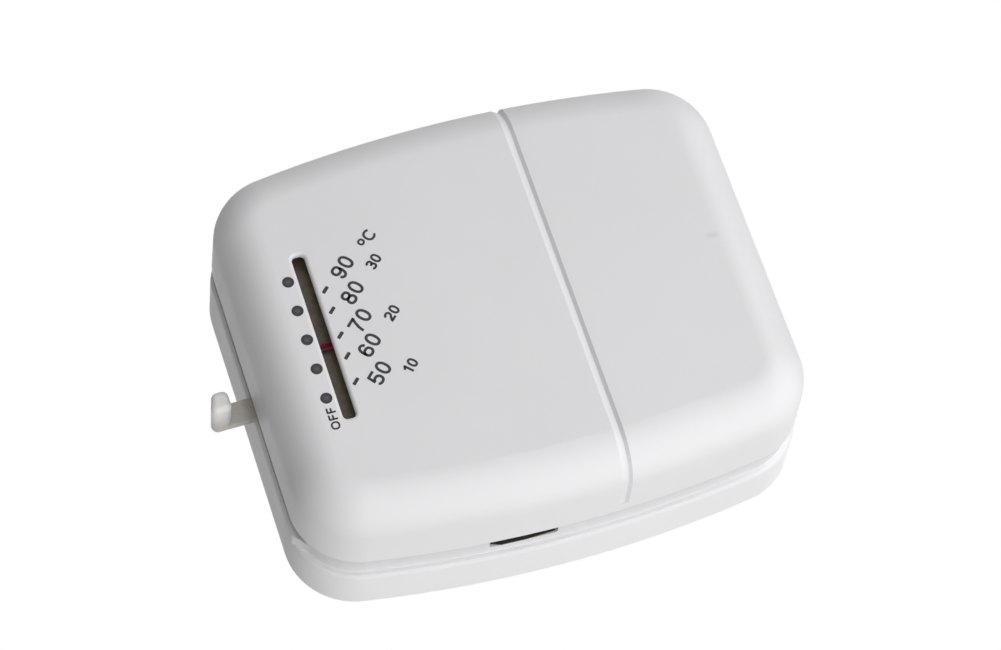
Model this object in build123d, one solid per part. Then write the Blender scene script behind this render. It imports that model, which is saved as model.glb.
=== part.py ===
"""Wall thermostat: a snap-off cover with a thermometer, over a base that carries a lever-set bimetal switch.

Millimetres. Every piece is drawn lying on its back: X to the right, Y up the wall and Z out of the wall,
with the wall at Z = 0. stand_up() turns the finished piece so that Z is up and the face looks along -Y.
"""
from build123d import *
from math import asin, atan2, cos, degrees, radians, sin, sqrt
import os

# Housing outline: straight sides, bowed top and bottom, rounded corners
base_width = 120.0
base_height = 100.0
edge_bow = 6.2            # rise of the top and bottom edges over the full width
corner_radius = 16.3      # at the wall

# Base
floor_thick = 2.2
base_wall = 3.0           # outline to the inner wall face
rim_height = 12.3         # straight part of the outer wall
rim_inset = 0.3
foot_inset = 0.15         # the wall stands slightly inside the rim
rim_round = 1.2           # soft edge where the wall turns into the ledge
ledge_inset = 1.75        # the flat ledge runs in from the rim to the neck
shoulder_height = 19.8    # top of the recessed neck that the cover meets
shoulder_inset = 1.85
lever_gate_height = 16.4  # the left wall stops here, so that the lever can pass over it
lever_gate_half = 35.5    # then the gate's floor ramps up to the shoulder
lever_gate_ramp = 4.5
gate_wall_fade = 4.3      # the flush wall below the gate runs out into the neck, this far each way from its end
gate_wall_reach = 5.6     # and this far in from the housing's side

# Cover
seam_gap = 0.25           # shoulder to the cover's lower edge
cover_inset = 0.64
cover_edge_bevel = 0.4
cover_depth = 41.6        # wall to the cover's face
cover_wall = 2.0
face_thick = 2.2
cover_draft = 0.022       # inset gained per millimetre of height
edge_round = 10.0
hollow_chamfer = 4.7      # the hollow's edge, so that the wall keeps its thickness behind the rounded edge

# Face details
groove_x = 12.5
groove_left = 1.6         # its gentle side, from the bottom of the V
groove_right = 0.75       # and its steep side
groove_depth = 0.8
groove_lift = 0.5         # how far the cutter's path stands above the surface
groove_end_height = 23.4
slot_inset = 16.9         # window slot's middle from the housing's left side
slot_width = 2.95
slot_length = 41.6
slot_y = 0.05
slot_corner = 1.1
slot_lip = 0.8
slot_relief = 0.9         # the face is thinner behind the slot, by this
slot_relief_margin = 3.0

# Pry notch in the lower edge of the base, for a screwdriver's blade
notch_x = -10.3
notch_width = 15.8
notch_depth = 4.45
notch_round = 0.9

# Snap tongues of the base and lugs of the cover
tongue_width = 10.0
tongue_thick = 1.8
tongue_clearance = 0.35
tongue_height = 27.0
tongue_x_top = 28.0
tongue_x_bottom = 34.0
lug_width = 5.6
lug_height = 1.2
lug_proud = 0.25
lug_level = 24.4
window_margin = 0.4

# Holes in the base
screw_spacing = 83.3      # between the wall screws
screw_slot_width = 4.5
screw_slot_length = 8.0
screw_level = 28.0
wire_hole_width = 15.0
wire_hole_height = 22.0
wire_hole_inset = 18.5    # its middle from the housing's right side
wire_hole_y = -8.0
hole_round = 2.0
over = 1.0                # how far a cutter reaches past what it cuts

# Mechanism plate and its fasteners
plate_level = 7.0
plate_thick = 1.0
plate_left = -36.0
plate_right = 31.0
plate_half = 26.5
plate_clearance = 1.0     # its lower edge to the terminal block
plate_corner = 4.0
plate_screw_inset = 4.5
plate_screw_top_x = 11.0   # clear of the contact block
boss_radius = 3.4
small_hole_radius = 1.3
small_head_radius = 2.3
small_head_thick = 1.1
small_slot_width = 0.6
screw_bite = 4.0

# Pivot stack: post, washer, lever hub, bimetal coil, retaining ring
pivot_x = -10.0
post_radius = 2.5
post_flange_radius = 5.0
post_flange_thick = 3.2
post_end = 1.0            # post above the retaining ring
post_groove = 0.5
washer_radius = 5.6
washer_thick = 0.5
fit_clearance = 0.05      # radial, for every turning fit
end_play = 0.1
hub_radius = 6.0
hub_neck_radius = 4.0
ring_radius = 4.4
ring_thick = 0.6

# Set lever
lever_rest = -2.4         # degrees above the horizontal
lever_bottom = 17.0
lever_thick = 1.9
lever_height = 5.1
lever_root_height = 7.0
tab_reach = 10.3          # how far the finger tab stands out of the housing's side
tab_thick = 5.3           # at its lower side
tab_slant = 1.8           # its outer face leans in by this over its height
tab_front = 27.2
tab_corner_round = 1.45   # its upright corners
tab_edge_round = 1.3      # round its front
tab_heel_round = 2.0
cam_radius = 13.5
cam_tip_radius = 2.0
cam_low = 12.6
cam_high = 16.4

# Bimetal coil and contact arm
coil_outer = 15.0
coil_half_turns = 7
coil_thick = 0.4
coil_lift = 1.7           # coil above the lever's arm
coil_headroom = 3.55      # coil to the thermometer's bridge, for the ring and the post's end
coil_step = 0.15          # coil's inner end to the hub's neck
arm_reach = 30.5          # end of the arm, from the middle of the housing
contact_x = 20.0
contact_radius = 1.5
contact_thread_radius = 1.1
contact_height = 0.9
contact_gap = 1.25
armature_x = 27.5
armature_width = 5.0
armature_thick = 0.6
magnet_gap = 1.75
magnet_thick = 2.5
stop_pin_radius = 0.8
stop_pin_x = 12.0
touch_gap = 0.2           # between pieces that meet on their stops

# Contact block and bracket
block_width = 15.0
block_depth = 6.0
block_left = 4.0          # block's left end from the contact
block_screw_offset = 7.0  # block's screw from the contact
block_screw_inset = 2.4   # and from the bracket's wall
block_drop = 4.7          # block's top below the contact screw's axis
bracket_thick = 1.0
bracket_rise = 3.1        # bracket's top above the screw's axis
bracket_y = 20.0

# Off switch
leaf_thick = 0.3
leaf_low = 12.6
leaf_width = 3.8
switch_block_left = 20.0
switch_block_width = 8.0
switch_block_low = 3.0
switch_block_high = 11.0
switch_block_height = 10.0
moving_leaf_y = 7.4
fixed_leaf_y = 5.6
moving_leaf_tip = 2.5
fixed_leaf_tip = 10.0
leaf_contact_x = 12.0
leaf_contact_radius = 1.0
leaf_pocket = 1.6

# Heat anticipator
heater_x = 17.0
heater_y = -13.5
heater_radius = 11.5
heater_level = 11.0
card_thick = 1.2
winding_width = 2.6
winding_thick = 0.7
winding_half_angle = 62.0
pointer_thick = 0.5
pointer_width = 2.2
heater_post_radius = 1.6

# Terminals
terminal_inset_x = 25.0   # block's middle from the housing's right side
terminal_pitch = 12.0
terminal_block_width = 25.0
terminal_block_depth = 10.0
terminal_block_height = 11.0
terminal_strip_thick = 0.8
terminal_strip_width = 6.0
terminal_tail = 5.0       # how far the strips stand out of the block
terminal_bite = 6.0
terminal_screw_radius = 1.7
terminal_head_radius = 3.4
terminal_head_thick = 1.8
barrier_height = 3.0
barrier_thick = 1.4

# Thermometer in the cover
arbor_x = -14.2
arbor_y = -0.9
dial_inset = 8.0          # dial plate from the housing's left side
dial_right = -4.0
dial_half = 23.5
dial_thick = 0.6
dial_behind_face = 2.4    # face's inner side to the dial plate
stake_radius = 1.15
stake_boss_radius = 2.4
stake_head_radius = 2.0
stake_head_thick = 0.9
stake_margin_left = 3.8   # stakes from the dial plate's edges
stake_margin_right = 3.5
stake_margin_y = 4.5
arbor_radius = 1.2
arbor_collar_radius = 2.0
arbor_collar_thick = 0.6
needle_past_slot = 2.7    # pointer's tip beyond the slot's middle
needle_width = 1.6
needle_thick = 0.4
needle_hub_radius = 3.0
needle_rest = -0.45
meter_coil_outer = 8.6
meter_coil_half_turns = 7
meter_coil_step = 0.12    # its inner end to the arbor
meter_coil_thick = 0.35
meter_coil_width = 4.4
bridge_thick = 0.8
bridge_width = 6.0
bridge_half = 13.0
bridge_foot = 4.4
rivet_radius = 0.9
rivet_head_radius = 1.7
rivet_head_thick = 0.5

# Sizes that follow from those above
bow_radius = ((base_width / 2) ** 2 + edge_bow ** 2) / (2 * edge_bow)
bow_centre = base_height / 2 - bow_radius
cover_edge = shoulder_height + seam_gap
cover_inside = cover_depth - face_thick
slot_x = slot_inset - base_width / 2
wire_hole_x = base_width / 2 - wire_hole_inset
terminal_x = base_width / 2 - terminal_inset_x
terminal_y = -(plate_half + plate_clearance + terminal_block_depth / 2)
tab_outer_x = -base_width / 2 - tab_reach
plate_top = plate_level + plate_thick
washer_level = plate_top + post_flange_thick
hub_low = washer_level + washer_thick + end_play
lever_top = lever_bottom + lever_thick
dial_left = dial_inset - base_width / 2
dial_front = cover_inside - dial_behind_face
dial_back = dial_front - dial_thick
needle_level = (dial_front + cover_inside) / 2 - needle_thick / 2
needle_reach = arbor_x - slot_x + needle_past_slot
meter_coil_inner = arbor_radius + meter_coil_thick / 2 + meter_coil_step
meter_coil_level = dial_back - arbor_collar_thick - end_play - meter_coil_width
bridge_front = meter_coil_level - 2 * end_play
bridge_back = bridge_front - bridge_thick
coil_inner = hub_neck_radius + coil_thick / 2 + coil_step
coil_level = lever_top + coil_lift
coil_width = bridge_back - coil_headroom - coil_level
coil_middle = coil_level + coil_width / 2
hub_high = coil_level + coil_width + end_play
ring_level = hub_high + end_play
moving_contact_top = coil_outer + coil_thick / 2 + contact_height
fixed_contact_face = moving_contact_top + contact_gap
magnet_face = coil_outer + coil_thick / 2 + armature_thick + magnet_gap
block_top = coil_middle - block_drop
heater_top = heater_level + card_thick
terminal_top = floor_thick + terminal_block_height


def stand_up(piece):
    return Plane.XZ * piece


def save(name, piece):
    export_step(stand_up(piece), f"parts/{name}.step")


def prism(sketch, low, high):
    """The sketch from one height above the wall to another."""
    return extrude(Pos(0, 0, low) * sketch, high - low, dir=(0, 0, 1))


def rod(x, y, radius, low, high):
    return prism(Pos(x, y) * Circle(radius), low, high)


def block(left, right, bottom, top, low, high):
    centre = ((left + right) / 2, (bottom + top) / 2)
    return prism(Pos(*centre) * Rectangle(right - left, top - bottom), low, high)


def slotted_screw(x, y, radius, head_radius, head_thick, seat, bite):
    """A cheese-head screw seated at a height, with its shank going down."""
    screw = rod(x, y, radius, seat - bite, seat) + rod(x, y, head_radius, seat, seat + head_thick)
    slot = Pos(x, y, seat + head_thick) * Rot(0, 0, 30) * Box(
        3 * head_radius, small_slot_width, head_thick, align=(Align.CENTER, Align.CENTER, Align.CENTER)
    )
    return screw - slot


def outline(inset):
    """The housing's outline, moved inwards by the inset."""
    half = base_width / 2 - inset
    radius = bow_radius - inset
    corner = bow_centre + sqrt(radius ** 2 - half ** 2)
    top = bow_centre + radius
    edges = [
        Line((half, -corner), (half, corner)),
        ThreePointArc((half, corner), (0, top), (-half, corner)),
        Line((-half, corner), (-half, -corner)),
        ThreePointArc((-half, -corner), (0, -top), (half, -corner)),
    ]
    face = make_face(Curve() + edges)
    return fillet(face.vertices(), corner_radius - inset)


def tapered(inset_low, inset_high, low, high):
    """The outline's body between two heights, with an inset at each."""
    rise = high - low
    slope = degrees(atan2(inset_high - inset_low, rise))
    return extrude(Pos(0, 0, low) * outline(inset_low), rise, taper=slope)


def stacked(profile):
    """Tapered bodies on top of each other, from (height, inset) pairs."""
    body = Part()
    for (low, inset_low), (high, inset_high) in zip(profile[:-1], profile[1:]):
        if high > low:
            body += tapered(inset_low, inset_high, low, high)
    return body


def on_bow(x, inset, side):
    """A place on the bowed edge, X along the edge and Y outwards; side is 1 at the top, -1 at the bottom."""
    radius = bow_radius - inset
    turn = asin(x / radius)
    y = bow_centre + radius * cos(turn)
    return Pos(x, side * y) * Rot(0, 0, -side * degrees(turn)) * Rot(0 if side > 0 else 180, 0, 0)


def cover_inset_at(height):
    return cover_inset + cover_draft * (height - cover_edge)


def bow_at(x, inset):
    """Half the housing's height at a place across it."""
    return bow_centre + sqrt((bow_radius - inset) ** 2 - x ** 2)


def cover_body(wall, high):
    """The cover's body up to a height: its outside with wall = 0, or its hollow with the wall's thickness."""
    return tapered(cover_inset_at(cover_edge) + wall, cover_inset_at(high) + wall, cover_edge, high)


def spiral_strip(inner, outer, half_turns, thick, tail=0.0):
    """A wound strip as half circles that grow, from the middle to a straight tail along +X at the top."""
    step = (outer - inner) / half_turns
    joints = [(inner + k * step) * (-1 if k % 2 == 0 else 1) for k in range(half_turns + 1)]

    def side(offset):
        edges = []
        for k in range(half_turns):
            sign_start = -1 if k % 2 == 0 else 1
            start = joints[k] + sign_start * offset
            end = joints[k + 1] - sign_start * offset
            middle = ((start + end) / 2)
            reach = abs(end - start) / 2
            bulge = -reach if k % 2 == 0 else reach
            edges.append(ThreePointArc((0, start), (bulge, middle), (0, end)))
        if tail:
            edges.append(Line((0, joints[-1] + offset), (tail, joints[-1] + offset)))
        return edges

    outside = side(thick / 2)
    inside = side(-thick / 2)
    first = Line(inside[0] @ 0, outside[0] @ 0)
    last = Line(inside[-1] @ 1, outside[-1] @ 1)
    return make_face(Curve() + outside + inside + [first, last])


def snap_tongues():
    tongues = []
    clear = cover_inset_at(lug_level) + cover_wall + tongue_clearance
    for side, across in ((1, tongue_x_top), (-1, tongue_x_bottom)):
        for x in (-across, across):
            place = on_bow(x, clear, side)
            root = Pos(0, -tongue_thick / 2 + 0.3) * Rectangle(tongue_width, tongue_thick + 0.6)
            blade = Pos(0, -tongue_thick / 2) * Rectangle(tongue_width, tongue_thick)
            tongue = prism(root, 0, shoulder_height - 0.4) + prism(blade, 0, tongue_height)
            window = Box(lug_width + 2 * window_margin, 3 * tongue_thick, lug_height + 2 * window_margin)
            tongues.append(place * upright(tongue - Pos(0, 0, lug_level) * window, side))
    return tongues


def upright(piece, side):
    """Undoes the half turn that on_bow gives the lower edge, so that heights stay heights."""
    return piece if side > 0 else Rot(180, 0, 0) * mirror(piece, about=Plane.XZ)


def gate_wall():
    """The left wall under the lever, which stays flush up to the gate's floor and has no ledge."""
    body = stacked([
        (0, foot_inset),
        (rim_height - 0.6 * rim_round, rim_inset),
        (lever_gate_height - 0.5 * rim_round, rim_inset),
        (lever_gate_height, rim_inset + 0.5 * rim_round),
    ])
    outer = -base_width / 2 - 1
    inner = -base_width / 2 + gate_wall_reach
    near = lever_gate_half - gate_wall_fade
    far = lever_gate_half + gate_wall_fade
    plan = Polygon((outer, -near), (inner, -far), (inner, far), (outer, near), align=None)
    return body & prism(plan, 0, lever_gate_height)


def wall_base():
    profile = [
        (0, foot_inset),
        (rim_height - 0.6 * rim_round, rim_inset),
        (rim_height, rim_inset + 0.2 * rim_round),
        (rim_height + 0.3 * rim_round, rim_inset + 0.5 * rim_round),
        (rim_height + 0.4 * rim_round, rim_inset + rim_round),
        (rim_height + 0.4 * rim_round, ledge_inset),
        (shoulder_height, shoulder_inset),
    ]
    shell = stacked(profile) + gate_wall()
    shell -= prism(outline(base_wall), floor_thick, shoulder_height + 1)
    for tongue in snap_tongues():
        shell += tongue
    for x, y in plate_screw_places():
        shell += rod(x, y, boss_radius, 0, plate_level)
        shell -= rod(x, y, small_hole_radius, plate_top - screw_bite, plate_level)
    gate = Polygon(
        (-lever_gate_half, lever_gate_height), (lever_gate_half, lever_gate_height),
        (lever_gate_half + lever_gate_ramp, shoulder_height + 0.5),
        (-lever_gate_half - lever_gate_ramp, shoulder_height + 0.5), align=None,
    )
    shell -= Pos(-base_width / 2, 0) * extrude(Plane.YZ * gate, 3 * base_wall, both=True)
    notch = Pos(notch_x, shoulder_height) * RectangleRounded(notch_width, 2 * notch_depth, notch_round)
    shell -= Pos(0, -base_height / 2) * extrude(Plane.XZ * notch, 3 * base_wall, both=True)
    for x in (-screw_spacing / 2, screw_spacing / 2):
        slot = Pos(x, screw_level) * SlotOverall(screw_slot_length, screw_slot_width)
        shell -= prism(slot, -1, floor_thick + 1)
    wires = Pos(wire_hole_x, wire_hole_y) * RectangleRounded(wire_hole_width, wire_hole_height, hole_round)
    shell -= prism(wires, -1, floor_thick + 1)
    return shell


def groove_tools():
    """A V-shaped cutter that runs over the cover from the lower side to the upper side, and its rounded ends."""
    low = bow_at(groove_x, cover_inset_at(groove_end_height)) + groove_lift
    high = bow_at(groove_x, cover_inset_at(cover_depth)) + groove_lift
    front = cover_depth + groove_lift
    path = FilletPolyline(
        (groove_x, -low, groove_end_height),
        (groove_x, -high, front),
        (groove_x, high, front),
        (groove_x, low, groove_end_height),
        radius=edge_round + groove_lift,
    )
    reach = groove_depth + groove_lift
    left = groove_left * reach / groove_depth
    right = groove_right * reach / groove_depth
    start = Plane(origin=path @ 0, x_dir=(1, 0, 0), z_dir=path % 0)
    tools = [sweep(start * Polygon((-left, 0), (right, 0), (0, reach), align=None), path=path)]
    for end, outwards in ((path @ 0, -1), (path @ 1, 1)):
        tip = Plane(origin=end, x_dir=(1, 0, 0), z_dir=(0, outwards, cover_draft))
        cone = Cone(0, right, reach, align=(Align.CENTER, Align.CENTER, Align.MAX))
        tools.append(tip * cone)
    return tools


def stake_places():
    xs = (dial_left + stake_margin_left, dial_right - stake_margin_right)
    y = dial_half - stake_margin_y
    return [(x, side * y) for x in xs for side in (-1, 1)]


def front_cover():
    cover = cover_body(0, cover_depth)
    cover = fillet(cover.faces().sort_by(Axis.Z)[-1].edges(), edge_round)
    cover = chamfer(cover.faces().sort_by(Axis.Z)[0].edges(), cover_edge_bevel)
    for tool in groove_tools():
        cover -= tool
    hollow = cover_body(cover_wall, cover_inside)
    cover -= chamfer(hollow.faces().sort_by(Axis.Z)[-1].edges(), hollow_chamfer)
    slot = Pos(slot_x, slot_y) * RectangleRounded(slot_width, slot_length, slot_corner)
    cover -= prism(slot, cover_inside - 1, cover_depth + 1)
    relief = Rectangle(slot_width + 2 * slot_relief_margin, slot_length + 2 * slot_relief_margin)
    cover -= prism(Pos(slot_x, slot_y) * relief, cover_inside - 1, cover_inside + slot_relief)
    mouth = cover.edges().filter_by(
        lambda e: abs(e.center().Z - cover_depth) < 0.01
        and abs(e.center().X - slot_x) < slot_width
        and abs(e.center().Y - slot_y) < slot_length / 2 + 0.1
    )
    cover = fillet(mouth, slot_lip)
    for x, y in stake_places():
        cover += rod(x, y, stake_boss_radius, dial_front, cover_inside + 0.5)
        cover += rod(x, y, stake_radius, dial_back - stake_head_thick / 2, cover_inside)
        cover += rod(x, y, stake_head_radius, dial_back - stake_head_thick, dial_back)
    for side, across in ((1, tongue_x_top), (-1, tongue_x_bottom)):
        for x in (-across, across):
            place = on_bow(x, cover_inset_at(lug_level) + cover_wall, side)
            lug = Pos(0, 0.25 - lug_proud, lug_level) * Box(lug_width, 0.5, lug_height)
            cover += place * upright(lug, side)
    return cover


def plate_screw_places():
    left = plate_left + plate_screw_inset
    y = plate_half - plate_screw_inset
    return [(left, -y), (left, y), (plate_right - plate_screw_inset, -y), (plate_screw_top_x, y)]


def mechanism_plate():
    width = plate_right - plate_left
    sheet = Pos((plate_left + plate_right) / 2, 0) * RectangleRounded(width, 2 * plate_half, plate_corner)
    plate = prism(sheet, plate_level, plate_top)
    for x, y in plate_screw_places():
        plate -= rod(x, y, small_hole_radius, plate_level - 1, plate_top + 1)
    return plate


def plate_screws():
    return Compound(children=[
        slotted_screw(x, y, small_hole_radius - fit_clearance, small_head_radius, small_head_thick, plate_top, screw_bite)
        for x, y in plate_screw_places()
    ])


def pivot_post():
    post = rod(pivot_x, 0, post_flange_radius, plate_top, washer_level)
    post += rod(pivot_x, 0, post_radius, plate_top, ring_level + ring_thick + post_end)
    post -= rod(pivot_x, 0, post_radius + 1, ring_level, ring_level + ring_thick) - rod(
        pivot_x, 0, post_radius - post_groove, ring_level, ring_level + ring_thick
    )
    return post


def friction_washer():
    ring = Pos(pivot_x, 0) * (Circle(washer_radius) - Circle(post_radius + fit_clearance))
    return prism(ring, washer_level, washer_level + washer_thick)


def retaining_ring():
    """An open ring that snaps into the post's groove."""
    ring = Circle(ring_radius) - Circle(post_radius - post_groove) - Pos(0, -ring_radius) * Rectangle(3.6, 2 * ring_radius)
    return prism(Pos(pivot_x, 0) * ring, ring_level, ring_level + ring_thick)


def lever_arm_sketch(height_in, height_out, inner, outer):
    """A tapering arm along -X from the pivot."""
    return Polygon(
        (-inner, -height_in / 2), (-inner, height_in / 2), (-outer, height_out / 2), (-outer, -height_out / 2),
        align=None,
    )


def set_lever():
    reach = pivot_x - tab_outer_x
    arm_length = reach - tab_thick + tab_corner_round
    arm = prism(lever_arm_sketch(lever_root_height, lever_height, 0, arm_length), lever_bottom, lever_top)
    inner = reach - tab_thick
    half = lever_height / 2
    section = Polygon((-inner, -half), (-inner, half), (tab_slant - reach, half), (-reach, -half), align=None)
    section = fillet(section.vertices(), tab_corner_round)
    tab = prism(section, lever_bottom, tab_front)
    tab = fillet(tab.faces().sort_by(Axis.Z)[-1].edges(), tab_edge_round)
    side = Polygon((-inner, lever_bottom), (-inner, tab_front), (-reach, tab_front), (-reach, lever_bottom), align=None)
    side = fillet(side.vertices().sort_by_distance((-reach, lever_bottom))[0], tab_heel_round)
    tab &= extrude(Plane.XZ * side, lever_height, both=True)
    hub = rod(0, 0, hub_radius, hub_low, lever_top) + rod(0, 0, hub_neck_radius, lever_top, hub_high)
    cam = prism(Polygon((0, -2.6), (0, 2.6), (cam_radius, cam_tip_radius), (cam_radius, -cam_tip_radius), align=None),
                cam_low, cam_high)
    cam += rod(cam_radius, 0, cam_tip_radius, cam_low, cam_high)
    lever = arm + tab + hub + cam
    lever -= rod(0, 0, post_radius + fit_clearance, hub_low - 1, hub_high + 1)
    return Pos(pivot_x, 0) * Rot(0, 0, -lever_rest) * lever


def bimetal_coil():
    tail = arm_reach - pivot_x
    strip = spiral_strip(coil_inner, coil_outer, coil_half_turns, coil_thick, tail)
    return prism(Pos(pivot_x, 0) * strip, coil_level, coil_level + coil_width)


def facing_up(x, radius, low, high):
    """A round piece on the contact arm's level, its axis up the wall."""
    return Pos(x, (low + high) / 2, coil_middle) * Rot(90, 0, 0) * Cylinder(radius, high - low)


def moving_contact():
    return facing_up(contact_x, contact_radius, coil_outer + coil_thick / 2, moving_contact_top)


def armature():
    bottom = coil_outer + coil_thick / 2
    return block(armature_x - armature_width / 2, armature_x + armature_width / 2, bottom, bottom + armature_thick,
                 coil_level + 0.5, coil_level + coil_width - 0.5)


def contact_screw():
    top = bracket_y + bracket_thick
    screw = facing_up(contact_x, contact_radius, fixed_contact_face, bracket_y)
    screw += facing_up(contact_x, contact_thread_radius, bracket_y - touch_gap, top)
    head = facing_up(contact_x, small_head_radius, top, top + small_head_thick)
    slot = Pos(contact_x, top + small_head_thick, coil_middle) * Box(
        3 * small_head_radius, small_head_thick, small_slot_width
    )
    return screw + head - slot


def contact_bracket():
    left = contact_x - block_left
    right = left + block_width
    wall_top = coil_middle + bracket_rise
    foot = block(left, right, bracket_y, bracket_y + block_depth, block_top, block_top + bracket_thick)
    wall = block(left, right, bracket_y, bracket_y + bracket_thick, block_top, wall_top)
    bracket = foot + wall
    bracket -= facing_up(contact_x, contact_thread_radius, bracket_y - over, bracket_y + bracket_thick + over)
    bracket -= rod(block_screw_x(), block_screw_y(), small_hole_radius, block_top - over,
                   block_top + bracket_thick + over)
    return bracket


def block_screw_x():
    return contact_x + block_screw_offset


def block_screw_y():
    return bracket_y + bracket_thick + block_screw_inset


def contact_block():
    left = contact_x - block_left
    piece = block(left, left + block_width, bracket_y, bracket_y + block_depth, plate_top, block_top)
    return piece - rod(block_screw_x(), block_screw_y(), small_hole_radius, block_top - screw_bite, block_top)


def contact_block_screw():
    return slotted_screw(block_screw_x(), block_screw_y(), small_hole_radius - fit_clearance,
                         small_head_radius - 0.3, small_head_thick, block_top + bracket_thick, screw_bite)


def contact_magnet():
    left = armature_x - armature_width / 2
    return block(left, left + armature_width, magnet_face, bracket_y, coil_level + 0.5, coil_level + coil_width - 0.5)


def arm_stop_pin():
    top = coil_outer - coil_thick / 2 - touch_gap
    return rod(stop_pin_x, top - stop_pin_radius, stop_pin_radius, plate_top, coil_level + coil_width)


def off_switch_block():
    right = switch_block_left + switch_block_width
    body = block(switch_block_left, right, switch_block_low, switch_block_high, plate_top,
                 plate_top + switch_block_height)
    pocket = block(switch_block_left - 1, switch_block_left + leaf_pocket, moving_leaf_y - 0.6, moving_leaf_y + 0.6,
                   leaf_low - 0.3, leaf_low + leaf_width + 0.3)
    slit = block(switch_block_left - 1, right + 1, fixed_leaf_y - leaf_thick / 2, fixed_leaf_y + leaf_thick / 2,
                 leaf_low, leaf_low + leaf_width)
    return body - pocket - slit


def leaf(y, tip, root):
    return block(tip, root, y - leaf_thick / 2, y + leaf_thick / 2, leaf_low, leaf_low + leaf_width)


def leaf_contact(low, high):
    middle = leaf_low + leaf_width / 2
    return Pos(leaf_contact_x, (low + high) / 2, middle) * Rot(90, 0, 0) * Cylinder(leaf_contact_radius, high - low)


def leaf_contact_split():
    return (moving_leaf_y + fixed_leaf_y) / 2


def off_switch_fixed_leaf():
    right = switch_block_left + switch_block_width + 1.5
    contact = leaf_contact(fixed_leaf_y + leaf_thick / 2, leaf_contact_split())
    return leaf(fixed_leaf_y, fixed_leaf_tip, right) + contact


def off_switch_moving_leaf():
    root = switch_block_left + leaf_pocket - 0.2
    return leaf(moving_leaf_y, moving_leaf_tip, root) + leaf_contact(leaf_contact_split(), moving_leaf_y - leaf_thick / 2)


def sector(inner, outer, half_angle):
    """A ring sector centred on +X."""
    ring = Circle(outer) - (Circle(inner) if inner > 0 else Sketch())
    far = 3 * outer
    left = (far * cos(radians(half_angle)), far * sin(radians(half_angle)))
    wedge = Polygon((0, 0), (left[0], -left[1]), (far * 1.5, 0), (left[0], left[1]), align=None)
    return ring & wedge


def anticipator_card():
    card = Circle(heater_radius) - Pos(-heater_radius * 1.35, 0) * Rectangle(2 * heater_radius, 3 * heater_radius)
    piece = prism(Pos(heater_x, heater_y) * card, heater_level, heater_top)
    return piece - rod(heater_x, heater_y, heater_post_radius + 0.02, heater_level - 1, heater_top + 1)


def anticipator_winding():
    ring = sector(heater_radius - winding_width, heater_radius - 0.4, winding_half_angle)
    return prism(Pos(heater_x, heater_y) * ring, heater_top, heater_top + winding_thick)


def anticipator_post():
    post = rod(heater_x, heater_y, heater_post_radius, plate_top, heater_top + winding_thick + 1.6)
    return post + rod(heater_x, heater_y, heater_post_radius + 1.4, plate_top, heater_level)


def anticipator_pointer():
    low = heater_top + winding_thick + 0.05
    arm = Polygon((0, -pointer_width / 2), (0, pointer_width / 2), (heater_radius + 1.5, 0.5),
                  (heater_radius + 1.5, -0.5), align=None)
    pointer = prism(arm, low, low + pointer_thick) + rod(0, 0, heater_post_radius + 1.2, low, low + 1.0)
    pointer -= rod(0, 0, heater_post_radius + fit_clearance, low - 1, low + 2)
    return Pos(heater_x, heater_y) * pointer


def terminal_places():
    return [(terminal_x - terminal_pitch / 2, terminal_y), (terminal_x + terminal_pitch / 2, terminal_y)]


def terminal_block():
    left = terminal_x - terminal_block_width / 2
    right = terminal_x + terminal_block_width / 2
    bottom = terminal_y - terminal_block_depth / 2
    top = terminal_y + terminal_block_depth / 2
    body = block(left, right, bottom, top, floor_thick, terminal_top)
    body += block(terminal_x - barrier_thick / 2, terminal_x + barrier_thick / 2, bottom, top, terminal_top,
                  terminal_top + barrier_height)
    for x, y in terminal_places():
        body -= rod(x, y, terminal_screw_radius + fit_clearance, terminal_top - terminal_bite, terminal_top)
    return body


def terminal_strips():
    strips = []
    for x, y in terminal_places():
        top = y + terminal_block_depth / 2 + terminal_tail
        strip = block(x - terminal_strip_width / 2, x + terminal_strip_width / 2, y - terminal_block_depth / 2 + 1,
                      top, terminal_top, terminal_top + terminal_strip_thick)
        hole = rod(x, y, terminal_screw_radius + fit_clearance, terminal_top - over,
                   terminal_top + terminal_strip_thick + over)
        strips.append(strip - hole)
    return Compound(children=strips)


def terminal_screws():
    return Compound(children=[
        slotted_screw(x, y, terminal_screw_radius, terminal_head_radius, terminal_head_thick,
                      terminal_top + terminal_strip_thick, terminal_bite)
        for x, y in terminal_places()
    ])


def dial_plate():
    width = dial_right - dial_left
    sheet = Pos((dial_left + dial_right) / 2, 0) * RectangleRounded(width, 2 * dial_half, plate_corner)
    plate = prism(sheet, dial_back, dial_front)
    for x, y in stake_places():
        plate -= rod(x, y, stake_radius + fit_clearance, dial_back - 1, dial_front + 1)
    plate -= rod(arbor_x, arbor_y, arbor_radius + fit_clearance, dial_back - 1, dial_front + 1)
    for side in (-1, 1):
        plate -= rod(arbor_x, arbor_y + side * bridge_rivet_reach(), rivet_radius, dial_back - 1, dial_front + 1)
    return plate


def bridge_rivet_reach():
    return bridge_half + bridge_thick + bridge_foot / 2


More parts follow.
